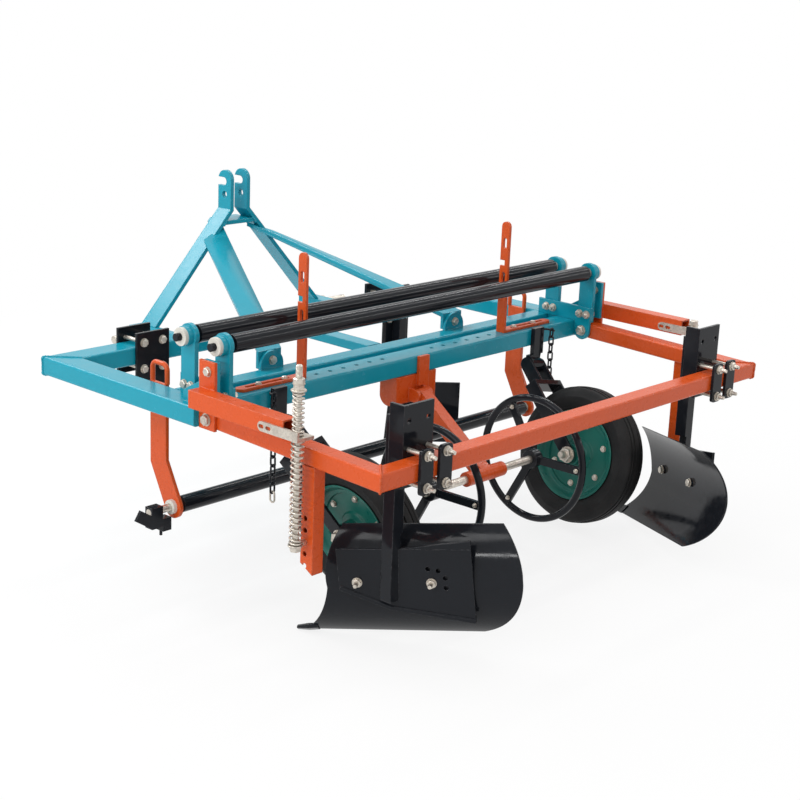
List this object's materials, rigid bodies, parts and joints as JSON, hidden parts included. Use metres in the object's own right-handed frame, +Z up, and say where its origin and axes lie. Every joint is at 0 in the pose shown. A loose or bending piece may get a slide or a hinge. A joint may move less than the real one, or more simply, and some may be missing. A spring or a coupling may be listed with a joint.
{
  "type": "mulch film layer",
  "caption": "Tractor-mounted mulch film layer: blue hitch frame with film rollers, sprung orange rear frame with soil boards, press wheels and ring wheels",
  "frame": {"origin": "midpoint between the two lower hitch pins, on their common axis", "axes": "+X to the right seen from behind, +Y forward towards the tractor, +Z up"},
  "size_m": [1.674, 1.5671, 0.9535],
  "materials": {
    "blue": "glossy teal blue paint",
    "black": "glossy black paint",
    "orange": "glossy orange paint",
    "zinc": "zinc-plated steel",
    "nylon": "white nylon",
    "green": "green paint",
    "tyre": "black rubber"
  },
  "bodies": {
    "frame": {"front_beam": "blue", "left_side_beam": "blue", "right_side_beam": "blue", "cross_beam": "blue", "cross_rail": "blue", "centre_beam": "blue", "left_mast_leg": "blue", "right_mast_leg": "blue", "mast_tie": "blue", "left_mast_brace": "blue", "right_mast_brace": "blue", "hitch_stubs": "blue", "hitch_pins": "zinc", "opener_clamps": "black", "front_blade": "black", "side_plates": "blue", "roller_brackets": "blue", "roller_bushes": "nylon", "pivot_bolts": "zinc", "left_spring_arm": "orange", "right_spring_arm": "orange", "spring_straps": "zinc", "left_roller_arm": "orange", "right_roller_arm": "orange", "lower_shaft": "zinc", "shaft_end_plate": "black", "left_film_arm": "orange", "right_film_arm": "orange", "centre_bracket": "orange", "left_wheel_post": "black", "right_wheel_post": "black", "frame_bolts": "zinc"},
    "front_roller": {"front_top_roller": "black"},
    "rear_roller": {"rear_top_roller": "black"},
    "low_roller": {"lower_roller": "black"},
    "rear_frame": {"left_rear_arm": "orange", "right_rear_arm": "orange", "rear_beam": "orange", "left_spring_rod": "zinc", "right_spring_rod": "zinc", "left_springs": "zinc", "right_springs": "zinc", "board_clamps": "black", "board_studs": "zinc", "left_board_post": "black", "right_board_post": "black", "left_board": "black", "right_board": "black"},
    "left_fork": {"left_wheel_fork": "black"},
    "right_fork": {"right_wheel_fork": "black"},
    "left_wheel": {"left_rim": "green", "left_tyre": "tyre"},
    "right_wheel": {"right_rim": "green", "right_tyre": "tyre"},
    "ring_gear": {"ring_carrier": "orange", "ring_axle": "zinc"},
    "left_ring": {"left_ring_wheel": "black"},
    "right_ring": {"right_ring_wheel": "black"},
    "left_chain": {"left_chain": "black"},
    "right_chain": {"right_chain": "black"}
  },
  "joints": [
    {"name": "front_roller_spin", "type": "hinge", "parent": "frame", "child": "front_roller", "pos_m": [0, -0.652, 0.181], "axis": [1, 0, 0], "continuous": true},
    {"name": "rear_roller_spin", "type": "hinge", "parent": "frame", "child": "rear_roller", "pos_m": [0, -0.78, 0.181], "axis": [1, 0, 0], "continuous": true},
    {"name": "lower_roller_spin", "type": "hinge", "parent": "frame", "child": "low_roller", "pos_m": [0, -0.579, -0.285], "axis": [1, 0, 0], "continuous": true},
    {"name": "rear_frame_lift", "type": "hinge", "parent": "frame", "child": "rear_frame", "pos_m": [0, -0.778, 0.004], "axis": [-1, 0, 0], "range_deg": [0, 8], "deforming": ["left_springs", "right_springs"]},
    {"name": "left_wheel_lift", "type": "hinge", "parent": "frame", "child": "left_fork", "pos_m": [-0.504, -0.762, -0.073], "axis": [-0.9799, 0, -0.1994], "range_deg": [0, 8]},
    {"name": "right_wheel_lift", "type": "hinge", "parent": "frame", "child": "right_fork", "pos_m": [0.504, -0.762, -0.073], "axis": [-0.9799, 0, 0.1994], "range_deg": [0, 8]},
    {"name": "left_wheel_spin", "type": "hinge", "parent": "left_fork", "child": "left_wheel", "pos_m": [-0.45994, -0.99, -0.28956], "axis": [-0.9799, 0, -0.1994], "continuous": true},
    {"name": "right_wheel_spin", "type": "hinge", "parent": "right_fork", "child": "right_wheel", "pos_m": [0.45994, -0.99, -0.28956], "axis": [-0.9799, 0, 0.1994], "continuous": true},
    {"name": "ring_lift", "type": "hinge", "parent": "frame", "child": "ring_gear", "pos_m": [0, -0.772, -0.074], "axis": [-1, 0, 0], "range_deg": [0, 8]},
    {"name": "left_ring_spin", "type": "hinge", "parent": "ring_gear", "child": "left_ring", "pos_m": [-0.211, -1.008, -0.244], "axis": [1, 0, 0], "continuous": true},
    {"name": "right_ring_spin", "type": "hinge", "parent": "ring_gear", "child": "right_ring", "pos_m": [0.211, -1.008, -0.244], "axis": [1, 0, 0], "continuous": true},
    {"name": "left_chain_swing", "type": "hinge", "parent": "frame", "child": "left_chain", "pos_m": [-0.561, -0.78, 0.027], "axis": [0, 1, 0], "range_deg": [-4, 15]},
    {"name": "right_chain_swing", "type": "hinge", "parent": "frame", "child": "right_chain", "pos_m": [0.561, -0.78, 0.027], "axis": [0, -1, 0], "range_deg": [-4, 15]}
  ]
}
